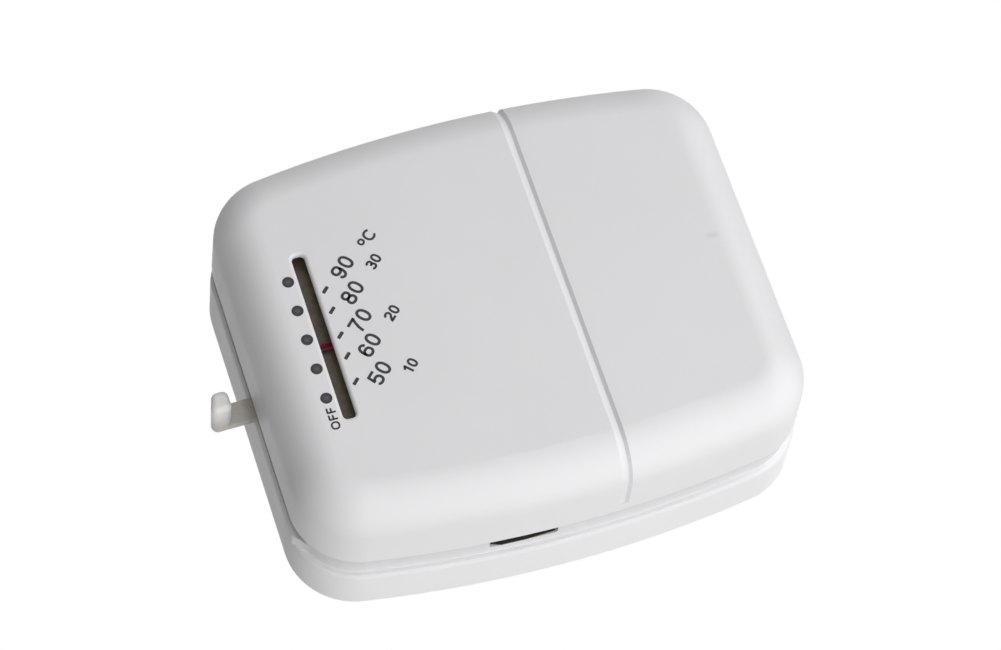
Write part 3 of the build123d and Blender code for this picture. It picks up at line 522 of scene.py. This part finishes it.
# %% The pointer's lacquer
LACQUER_FULL = 0.35 * MM
LACQUER_THIN = 0.7 * MM
red, tree, shader, place = begin_material("dipped_lacquer_dark_red")
offset = add_node(tree, "ShaderNodeVectorMath", {0: place, 1: hub}, operation="SUBTRACT")
across = add_node(tree, "ShaderNodeVectorMath", {0: offset.outputs[0], 1: blade_across}, operation="DOT_PRODUCT")
side = add_node(tree, "ShaderNodeMath", {0: across.outputs["Value"]}, operation="ABSOLUTE")
edge = add_node(tree, "ShaderNodeMapRange", {"Value": side.outputs[0], "From Min": LACQUER_FULL,
                                             "From Max": LACQUER_THIN})
flow = add_node(tree, "ShaderNodeTexNoise", {"Vector": place, "Scale": pattern_scale(0.9), "Detail": 3})
deep = add_node(tree, "ShaderNodeMix", {0: flow.outputs[0], 6: linear("4E040B"), 7: linear("5C0710")},
                data_type="RGBA")
worn = add_node(tree, "ShaderNodeMix", {0: edge.outputs[0], 6: deep.outputs[2], 7: linear("86343E")},
                data_type="RGBA")
rough = add_node(tree, "ShaderNodeMapRange", {"Value": flow.outputs[0], "To Min": 0.5, "To Max": 0.62})
bump = add_node(tree, "ShaderNodeBump", {"Height": flow.outputs[0], "Distance": 0.004 * MM})
feed(tree, shader, {"Base Color": worn.outputs[2], "Roughness": rough.outputs[0], "Normal": bump.outputs[0]})
shader.inputs["Specular IOR Level"].default_value = 0.2
finishes["pointer_red"] = red
print("pointer:", red.name)

# %% [markdown]
# ## Finishes for the loaded parts
#
# Every loaded part takes the finish of its slot in the record. A part's mesh is never changed here: only its
# material slot is filled.

# %% Give each part its finish
finishes.update({"cover_plastic": cover_abs, "base_plastic": base_abs, "lever_plastic": lever_nylon})
for part in nodes.values():
    slot = part.data.materials[0].name
    part.data.materials[0] = finishes[slot]
print(len(finishes), "finishes on", len(nodes), "parts")

# %% [markdown]
# ## Printing ink
#
# The scale is pad-printed: a soft pad lifts ink from an etched plate and presses it on the finished cover.
# The ink is blue-black, a little glossier than the plastic, and only a few hundredths of a millimetre thick.
# Each mark is a thin closed piece that stands on the face, so that it keeps a crisp edge at any distance.
# The pad squeezes ink from the middle of a large mark towards its rim. So the ink reads an attribute called
# film, which a piece may carry: 0 where the film is full, and 1 where it is thin and the white shows through.

# %% Ink and the face that it lies on
ink, tree, shader, place = begin_material("pad_printing_ink_blue_black")
patchy = add_node(tree, "ShaderNodeTexNoise", {"Vector": place, "Scale": pattern_scale(0.5), "Detail": 3})
full = add_node(tree, "ShaderNodeMix", {0: patchy.outputs[0], 6: linear("111216"), 7: linear("1E2026")},
                data_type="RGBA")
film = add_node(tree, "ShaderNodeAttribute", attribute_name="film")
printed = add_node(tree, "ShaderNodeMix", {0: film.outputs["Fac"], 6: full.outputs[2], 7: linear("3B3E44")},
                   data_type="RGBA")
rough = add_node(tree, "ShaderNodeMapRange", {"Value": patchy.outputs[0], "To Min": 0.36, "To Max": 0.5})
feed(tree, shader, {"Base Color": printed.outputs[2], "Roughness": rough.outputs[0]})
shader.inputs["IOR"].default_value = 1.5
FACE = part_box("front_cover")[0].y
PROUD = 0.03 * MM
SUNK = 0.02 * MM
INK_DEPTH = PROUD + SUNK
INK_Y = FACE - (PROUD - SUNK) / 2
print("the cover's face is at", round(FACE / MM, 2), "mm")

# %% [markdown]
# ## Helpers for new pieces
#
# By hand, a tool in edit mode follows a click on a face or an edge. Code has no mouse, so the first helper picks
# by a test instead: the face that looks up, or the edges that run one way. Another ends every new piece the
# same way: its place is applied, and it gets its finish and the body that it moves with. The last one copies a
# finished piece, so that what repeats is modelled only once.

# %% Pick, test, finish and copy
def pick(piece, kind, wanted):
    """Selects the faces or edges that are wanted, and stays in edit mode, ready for a tool."""
    bpy.context.view_layer.objects.active = piece
    bpy.ops.object.mode_set(mode="EDIT")
    bpy.ops.mesh.select_mode(type=kind)
    bpy.ops.mesh.select_all(action="DESELECT")
    bpy.ops.object.mode_set(mode="OBJECT")
    elements = piece.data.polygons if kind == "FACE" else piece.data.edges
    for element in elements:
        element.select = wanted(element)
    bpy.ops.object.mode_set(mode="EDIT")


def edge_runs_along(piece, axis):
    """A test for edges that run along one axis of the piece."""
    points = piece.data.vertices

    def runs_along(edge):
        way = (points[edge.vertices[0]].co - points[edge.vertices[1]].co).normalized()
        return abs(way[axis]) > 0.95

    return runs_along


def finish_piece(piece, material, body):
    """Applies the place of a piece, gives it its finish and lets it ride on a body."""
    bpy.ops.object.select_all(action="DESELECT")
    piece.select_set(True)
    bpy.context.view_layer.objects.active = piece
    bpy.ops.object.transform_apply(location=True, rotation=True, scale=True)
    piece.data.materials.clear()
    piece.data.materials.append(material)
    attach(piece, body)
    return piece


def copy_piece(first, name, move, material, body):
    """A copy of a finished piece, with a mesh of its own, moved and finished like the first."""
    copy = first.copy()
    copy.data = first.data.copy()
    copy.name = name
    bpy.context.scene.collection.objects.link(copy)
    copy.parent = None
    copy.location = move
    return finish_piece(copy, material, body)


print("new marks stand", round(PROUD / MM, 2), "mm proud of the face")

# %% [markdown]
# ## Setting spots
#
# Five round spots beside the slot mark the settings of the lever. One is modelled: a low cylinder whose top is
# inset three times. The first inset is raised a little, as surface tension pulls wet ink into a low dome. The
# others give the thin middle vertices of its own for the film attribute. The other four spots are copies.

# %% One printed spot, and its copies
SPOT_X = -46.89 * MM
SPOT_MIDDLE = -0.07 * MM
SPOT_PITCH = 7.42 * MM
SPOT_RADIUS = 1.34 * MM
THIN_RADIUS = 0.45 * MM
bpy.ops.object.select_all(action="DESELECT")
bpy.ops.mesh.primitive_cylinder_add(vertices=40, radius=SPOT_RADIUS, depth=INK_DEPTH,
                                    location=(SPOT_X, INK_Y, SPOT_MIDDLE),
                                    rotation=(math.pi / 2, 0, 0))
spot = bpy.context.object
spot.name = "printed_spot_3"
pick(spot, "FACE", lambda face: face.normal.z > 0.9)
for width, rise in ((0.12, 0.008), (0.42, 0), (0.40, 0)):
    bpy.ops.mesh.inset(thickness=width * MM, depth=rise * MM)
bpy.ops.object.mode_set(mode="OBJECT")
thinness = spot.data.attributes.new("film", "FLOAT", "POINT")
for vertex in spot.data.vertices:
    from_middle = math.hypot(vertex.co.x, vertex.co.y)
    thinness.data[vertex.index].value = 1.0 if from_middle < THIN_RADIUS and vertex.co.z > 0 else 0.0
finish_piece(spot, ink, "cover")
for number, step in ((1, 2), (2, 1), (4, -1), (5, -2)):
    copy_piece(spot, f"printed_spot_{number}", (0, 0, step * SPOT_PITCH), ink, "cover")
print("spots at heights", [round((SPOT_MIDDLE + step * SPOT_PITCH) / MM, 1) for step in (2, 1, 0, -1, -2)], "mm")

# %% [markdown]
# ## Scale bars
#
# The scale marks beside the slot are short bars at forty-five degrees, so they point at the figures that lean
# the same way. Each is a flat cube with its four upright edges rounded, since ink doesn't hold a sharp corner.

# %% Five bars
BAR_X = -39.52 * MM
BAR_LENGTH = 1.95 * MM
BAR_WIDTH = 0.8 * MM
BAR_ROUND = 0.18 * MM
BAR_LEAN = 45
BAR_HEIGHTS = {"90": 10.74, "80": 5.46, "70": -0.95, "60": -6.22, "50": -12.72}
bpy.ops.object.select_all(action="DESELECT")
bpy.ops.mesh.primitive_cube_add(size=1, location=(0, 0, 0))
bar = bpy.context.object
bar.name = "printed_bar_90"
bar.dimensions = (BAR_LENGTH, INK_DEPTH, BAR_WIDTH)
bpy.ops.object.transform_apply(location=False, rotation=False, scale=True)
pick(bar, "EDGE", edge_runs_along(bar, 1))
bpy.ops.mesh.bevel(offset=BAR_ROUND, segments=3)
bpy.ops.object.mode_set(mode="OBJECT")
bar.rotation_euler = (0, -math.radians(BAR_LEAN), 0)
bar.location = (BAR_X, INK_Y, BAR_HEIGHTS["90"] * MM)
finish_piece(bar, ink, "cover")
for label in ("80", "70", "60", "50"):
    move = (0, 0, (BAR_HEIGHTS[label] - BAR_HEIGHTS["90"]) * MM)
    copy_piece(bar, "printed_bar_" + label, move, ink, "cover")
print(len(BAR_HEIGHTS), "bars")

# %% [markdown]
# ## Figures drawn with a pen
#
# A draughtsman draws the figures of a scale as strokes of one pen and etches them into the printing plate.
# The same is done here. A figure is a few centre lines on a field one unit high: straight lines and parts of
# rounded ovals. Blender's built-in letters could be used, but their nines, sixes and ones have other shapes.

# %% Ovals, and the strokes of each figure
PEN = 0.172
SQUARED = 0.88  # 1 would be a true oval


def oval_line(x, y, across, up, start=0, end=360):
    """Points on a slightly squared oval around x, y, from one angle in degrees to another."""
    steps = max(8, round(abs(end - start) / 9))
    points = []
    for step in range(steps + 1):
        angle = math.radians(start + (end - start) * step / steps)
        c, s = math.cos(angle), math.sin(angle)
        points.append((x + across * math.copysign(abs(c) ** SQUARED, c),
                       y + up * math.copysign(abs(s) ** SQUARED, s)))
    return points


def strokes_of(figure, wide):
    """The centre lines of a figure that is one unit high and so many units wide."""
    half = PEN / 2
    middle, across = wide / 2, wide / 2 - half
    if figure in "0O":
        return [oval_line(middle, 0.5, across, 0.5 - half)]
    if figure == "1":
        stem = wide * 0.62
        return [[(stem, 0), (stem, 1)], [(stem - 0.31, 0.735), (stem - 0.13, 0.80), (stem, 0.95)]]
    if figure == "2":
        return [oval_line(middle, 0.675, across, 0.325 - half, 170, -38) + [(half * 1.3, PEN * 0.9)],
                [(0, half), (wide, half)]]
    if figure == "3":
        return [oval_line(middle, 0.72, across * 0.92, 0.2025, 160, -78),
                oval_line(middle, 0.2975, across, 0.22, 78, -160),
                [(middle - 0.1, 0.5175), (middle + 0.1, 0.5175)]]
    if figure == "5":
        return [[(wide - 0.05, 1 - half), (0.2 * wide, 1 - half), (0.11 * wide, 0.42)],
                oval_line(middle, 0.33, across, 0.33 - half, 148, -158)]
    if figure == "7":
        return [[(0, 1 - half), (wide, 1 - half)],
                [(wide - 0.08, 1 - half), (0.66 * wide, 0.66), (0.46 * wide, 0.34), (0.36 * wide, 0)]]
    if figure == "8":
        return [oval_line(middle, 0.72, across * 0.9, 0.2025), oval_line(middle, 0.2975, across, 0.22)]
    if figure in "69":
        lines = [oval_line(middle, 0.68, across, 0.32 - half), oval_line(middle, 0.5, across, 0.5 - half, 22, -152)]
        return lines if figure == "9" else [[(wide - x, 1 - y) for x, y in line] for line in lines]
    if figure == "C":
        return [oval_line(middle, 0.5, across, 0.5 - half, 38, 322)]
    # What remains is an F.
    return [[(half, 0), (half, 1)], [(half, 1 - half), (wide, 1 - half)], [(half, 0.49), (wide * 0.92, 0.49)]]


print("strokes in an 8:", len(strokes_of("8", 0.68)))

# %% [markdown]
# ## From strokes to ink
#
# Each centre line is widened by the pen to an outline. A closed line becomes two outlines, one inside the
# other, and a flat curve fills only the ring between them. The curve is given the ink's thickness and made a
# mesh, and the strokes of a word are joined into one piece that leans with its bar.

# %% Outlines of a stroke
def pen_outlines(line, pen):
    """The one or two closed outlines of a stroke of that width along a line."""
    closed = (Vector(line[0]) - Vector(line[-1])).length < 1e-4
    points = [Vector(p) for p in (line[:-1] if closed else line)]
    sides = ([], [])
    for i, point in enumerate(points):
        before = points[i - 1] if i or closed else None
        after = points[(i + 1) % len(points)] if i < len(points) - 1 or closed else None
        ways = [(b - a).normalized() for a, b in ((before, point), (point, after)) if a and b]
        way = sum(ways, Vector((0, 0))).normalized()
        reach = pen / 2 / max(0.5, way.dot(ways[0]))
        sides[0].append(point + reach * Vector((-way.y, way.x)))
        sides[1].append(point - reach * Vector((-way.y, way.x)))
    return list(sides) if closed else [sides[0] + sides[1][::-1]]


def stroke_piece(name, line, pen, shift, thickness):
    """One stroke as a flat curve object of that thickness, with its outlines shifted to the right."""
    shape = bpy.data.curves.new(name, "CURVE")
    shape.dimensions = "2D"
    shape.fill_mode = "BOTH"
    shape.extrude = thickness / 2
    for outline in pen_outlines(line, pen):
        spline = shape.splines.new("POLY")
        spline.points.add(len(outline) - 1)
        for point, corner in zip(spline.points, outline):
            point.co = (corner.x + shift, corner.y, 0, 1)
        spline.use_cyclic_u = True
    piece = bpy.data.objects.new(name, shape)
    bpy.context.scene.collection.objects.link(piece)
    return piece


print("outlines of an 8:", sum(len(pen_outlines(line, PEN)) for line in strokes_of("8", 0.68)))

# %% Print a word
FIGURE_WIDTH = 0.677
OTHER_WIDTHS = {"1": 0.52, "F": 0.66, "O": 0.98, "C": 0.92}


def print_word(name, word, x, z, height, lean, pen=PEN, gap=0.133):
    """A printed word with its middle at x, z in mm and figures of that height, leaning by so many degrees."""
    pieces = []
    shift = 0.0
    for figure in word:
        wide = OTHER_WIDTHS.get(figure, FIGURE_WIDTH)
        pieces += [stroke_piece(name, line, pen, shift, INK_DEPTH / (height * MM))
                   for line in strokes_of(figure, wide)]
        shift += wide + gap
    bpy.ops.object.select_all(action="DESELECT")
    for piece in pieces:
        piece.select_set(True)
    bpy.context.view_layer.objects.active = pieces[0]
    bpy.ops.object.convert(target="MESH")
    if len(pieces) > 1:
        bpy.ops.object.join()
    letters = bpy.context.object
    letters.name = name
    bpy.ops.object.mode_set(mode="EDIT")
    bpy.ops.mesh.select_all(action="SELECT")
    bpy.ops.mesh.remove_doubles(threshold=1e-5)
    bpy.ops.mesh.normals_make_consistent(inside=False)
    bpy.ops.object.mode_set(mode="OBJECT")
    bpy.ops.object.origin_set(type="ORIGIN_GEOMETRY", center="BOUNDS")
    letters.scale = (height * MM, height * MM, height * MM)
    letters.rotation_euler = (math.pi / 2, -math.radians(lean), 0)
    letters.location = (x * MM, INK_Y, z * MM)
    return finish_piece(letters, ink, "cover")


for word, x, z in (("90", -34.28, 15.2), ("80", -33.96, 8.55), ("70", -34.28, 1.42), ("60", -34.1, -4.95),
                   ("50", -33.94, -12.18)):
    print_word("printed_" + word, word, x, z, 3.75, BAR_LEAN)
for word, x, z in (("30", -27.19, 14.74), ("20", -27.05, 1.33), ("10", -26.87, -12.2)):
    print_word("printed_" + word, word, x, z, 2.5, BAR_LEAN, pen=0.215)
print_word("printed_c", "C", -26.33, 21.4, 2.9, BAR_LEAN, pen=0.19)
print_word("printed_degree", "O", -28.46, 20.19, 1.5, BAR_LEAN, pen=0.32)
print_word("printed_off", "OFF", -46.81, -20.07, 2.0, 90, pen=0.21, gap=0.2)

# %% [markdown]
# ## The heater's winding
#
# The anticipator is a small heater whose wire warms the bimetal. Resistance wire is wound flat around a thin
# bent strip, and a slider taps it at any turn. The loaded part shows it as a plain ring. Here one turn is
# bent from a thin torus that is stretched into a flat loop, and it is copied around the arc, each copy turned
# a little further. A turn is repeated many times, so it has few faces.

# %% One turn of wire
WINDING_LOW, WINDING_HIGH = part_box("anticipator_winding")
OUTER_RADIUS = 11.1 * MM
INNER_RADIUS = 8.9 * MM
MIDDLE_RADIUS = (OUTER_RADIUS + INNER_RADIUS) / 2
ARC_CENTRE = Vector((WINDING_HIGH.x - OUTER_RADIUS, (WINDING_LOW.y + WINDING_HIGH.y) / 2,
                     (WINDING_LOW.z + WINDING_HIGH.z) / 2))
WIRE = 0.11 * MM
turn_radius = (OUTER_RADIUS - INNER_RADIUS) / 2
loop_radius = turn_radius - WIRE
flatness = (WINDING_HIGH.y - WINDING_LOW.y) / 2
bpy.ops.object.select_all(action="DESELECT")
bpy.ops.mesh.primitive_torus_add(major_segments=14, minor_segments=6, major_radius=loop_radius, minor_radius=WIRE)
turn_one = bpy.context.object
turn_one.name = "heater_turn"
# The flat loop: points past a limit are pulled back, which leaves two straight runs and two tight bends.
for vertex in turn_one.data.vertices:
    lean_out = math.hypot(vertex.co.x, vertex.co.y) - loop_radius
    angle = math.atan2(vertex.co.y, vertex.co.x)
    loop_y = max(-1.0, min(1.0, 1.9 * math.sin(angle))) * (flatness - WIRE)
    loop_x = loop_radius * math.copysign(abs(math.cos(angle)) ** 0.6, math.cos(angle))
    outwards = Vector((loop_x / turn_radius, loop_y / flatness)).normalized()
    vertex.co.x = loop_x + outwards.x * lean_out
    vertex.co.y = loop_y + outwards.y * lean_out
print("one turn,", len(turn_one.data.polygons), "faces")

# %% A winding of turns
TURNS = 60
HALF_ARC = math.radians(60.5)
turns = []
for number in range(TURNS):
    angle = HALF_ARC * (2 * number / (TURNS - 1) - 1)
    copy = turn_one.copy()
    copy.data = turn_one.data.copy()
    bpy.context.scene.collection.objects.link(copy)
    copy.matrix_world = (Matrix.Translation(ARC_CENTRE) @ Matrix.Rotation(-angle, 4, "Y")
                         @ Matrix.Translation((MIDDLE_RADIUS, 0, 0)))
    turns.append(copy)
bpy.data.objects.remove(turn_one)
bpy.ops.object.select_all(action="DESELECT")
for piece in turns:
    piece.select_set(True)
bpy.context.view_layer.objects.active = turns[0]
bpy.ops.object.join()
winding = bpy.context.object
winding.name = "heater_winding"
bpy.ops.object.shade_smooth()
finish_piece(winding, finishes["resistance_wire"], "base")
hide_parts("anticipator_winding")
print(TURNS, "turns,", len(winding.data.polygons), "faces")

# %% [markdown]
# The wire needs something to be wound on. This strip is cut from the same laminate as the card: a flat plane
# is spun around the arc's centre, which sweeps it into a ring sector with square edges.

# %% The strip inside the winding
STRIP_HALF_ARC = math.radians(61.5)
bpy.ops.object.select_all(action="DESELECT")
bpy.ops.mesh.primitive_plane_add(size=1, location=(0, 0, 0))
core = bpy.context.object
core.name = "heater_strip"
core.dimensions = (2 * (turn_radius - 3.2 * WIRE), 2 * (flatness - 2.4 * WIRE), 0)
bpy.ops.object.transform_apply(location=False, rotation=False, scale=True)
core.location = ARC_CENTRE + Vector((MIDDLE_RADIUS, 0, 0))
bpy.ops.object.transform_apply(location=True, rotation=False, scale=False)
bpy.ops.object.mode_set(mode="EDIT")
bpy.ops.mesh.select_all(action="SELECT")
bpy.ops.mesh.spin(steps=36, angle=2 * STRIP_HALF_ARC, center=(ARC_CENTRE.x, 0, ARC_CENTRE.z), axis=(0, 1, 0))
bpy.ops.mesh.select_all(action="SELECT")
# Without a window, this tool turns the other way, so the angle is negative.
bpy.ops.transform.rotate(value=-STRIP_HALF_ARC, orient_axis="Y", center_override=(ARC_CENTRE.x, 0, ARC_CENTRE.z))
bpy.ops.mesh.normals_make_consistent(inside=False)
bpy.ops.object.mode_set(mode="OBJECT")
finish_piece(core, finishes["card_board"], "base")
print("strip", [round(v / MM, 1) for v in core.dimensions], "mm")

# %% [markdown]
# ## A dark sheet in the notch, as painted shade
#
# A screwdriver in the notch of the lower edge lifts the cover. Behind the notch stands a strip of black fibre,
# and a tongue of it lies on the notch's floor. The strip is painted shade: a dark sheet put where the deep
# notch lies in shadow, so that the notch looks dark. The strip starts as a plate with its four upright corners
# rounded by a bevel. Cuts mark the root of the tongue, and that face is extruded outwards.

# %% The fibre plate
HOUSING_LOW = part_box("wall_base")[0].z
NOTCH_MIDDLE = -10.3 * MM
PLATE_SIZE = Vector((22, 20.5, 0.4)) * MM
bpy.ops.object.select_all(action="DESELECT")
bpy.ops.mesh.primitive_cube_add(size=1, location=(0, 0, 0))
shade_sheet = bpy.context.object
shade_sheet.name = "notch_shade_sheet"
shade_sheet.dimensions = PLATE_SIZE
bpy.ops.object.transform_apply(location=False, rotation=False, scale=True)
pick(shade_sheet, "EDGE", edge_runs_along(shade_sheet, 2))
bpy.ops.mesh.bevel(offset=2.0 * MM, segments=4)
bpy.ops.object.mode_set(mode="OBJECT")
shade_sheet.location = (NOTCH_MIDDLE, -12.4 * MM, HOUSING_LOW + 4.3 * MM)
bpy.ops.object.transform_apply(location=True, rotation=False, scale=False)
print("plate", [round(v / MM, 1) for v in shade_sheet.dimensions], "mm")

# %% Its tongue
NOTCH_HALF = 7.45 * MM
TONGUE_BACK = -15.4 * MM
TONGUE_FRONT = -15.75 * MM
TONGUE_LENGTH = 2.45 * MM
bpy.ops.object.mode_set(mode="EDIT")
cuts = [((NOTCH_MIDDLE + step, 0, 0), (1, 0, 0)) for step in (-NOTCH_HALF, NOTCH_HALF, -5.2 * MM, 0.5 * MM)]
cuts += [((0, y, 0), (0, 1, 0)) for y in (TONGUE_BACK, TONGUE_FRONT)]
for place, across in cuts:
    bpy.ops.mesh.select_all(action="SELECT")
    bpy.ops.mesh.bisect(plane_co=place, plane_no=across)
bpy.ops.object.mode_set(mode="OBJECT")
pick(shade_sheet, "FACE", lambda face: face.normal.z < -0.9 and abs(face.center.x - NOTCH_MIDDLE) < NOTCH_HALF
     and TONGUE_FRONT < face.center.y < TONGUE_BACK)
bpy.ops.mesh.extrude_region_move(TRANSFORM_OT_translate={"value": (0, 0, -TONGUE_LENGTH)})
bpy.ops.object.mode_set(mode="OBJECT")
# The wall is bowed, so the tongue's end steps back by the bow's depth, and blades have worn its corners.
BOW_RADIUS = 362.5 * MM
WORN_LEFT = 0.75 * MM
WORN_RIGHT = 0.4 * MM
for vertex in shade_sheet.data.vertices:
    if vertex.co.z < HOUSING_LOW + 3 * MM:
        vertex.co.z += vertex.co.x ** 2 / (2 * BOW_RADIUS)
        end = (vertex.co.x - NOTCH_MIDDLE) / NOTCH_HALF
        vertex.co.z += WORN_LEFT if end < -0.99 else WORN_RIGHT if end > 0.99 else 0.0
finish_piece(shade_sheet, notch_shade_fibre, "base")
tongue_end = min(v.co.z for v in shade_sheet.data.vertices)
print("tongue ends", round((tongue_end - HOUSING_LOW) / MM, 2), "mm inside the housing's lowest point")

# %% [markdown]
# ## Ejector marks
#
# Pins push a moulding off its core, and each leaves a round mark on the inside: a flat disc that stands a
# tenth of a millimetre proud, with a fine groove around it. One mark is a low cylinder whose top is inset three
# times, down into the groove and up again. The cover's mark faces the wall and the base's mark looks out. Each
# is modelled once and copied.

# %% One mark for each moulding, and its copies
PINS = {  # y in mm, way that it faces, radius in mm, places x, z in mm
    "cover": (-39.4, 1, 3.0, ((22, 33), (22, -33), (46, 0), (22, 0), (-30, 35), (-30, -35))),
    "base": (-2.2, -1, 2.5, ((-50, 30), (-50, -30), (52, 14), (0, -39), (0, 41))),
}
for body, (y, facing, radius, places) in PINS.items():
    plastic = finishes[body + "_plastic"]
    first_x, first_z = places[0]
    bpy.ops.object.select_all(action="DESELECT")
    bpy.ops.mesh.primitive_cylinder_add(vertices=32, radius=radius * MM, depth=0.2 * MM)
    mark = bpy.context.object
    mark.name = body + "_pin_mark_1"
    pick(mark, "FACE", lambda face: face.normal.z > 0.9)
    for width, rise in ((0.12, 0), (0.06, -0.08), (0.06, 0.08)):
        bpy.ops.mesh.inset(thickness=width * MM, depth=rise * MM)
    bpy.ops.object.mode_set(mode="OBJECT")
    mark.rotation_euler = (-facing * math.pi / 2, 0, 0)
    mark.location = (first_x * MM, y * MM, first_z * MM)
    finish_piece(mark, plastic, body)
    for number, (x, z) in enumerate(places[1:], 2):
        move = ((x - first_x) * MM, 0, (z - first_z) * MM)
        copy_piece(mark, f"{body}_pin_mark_{number}", move, plastic, body)
print(sum(len(pins[3]) for pins in PINS.values()), "pin marks")
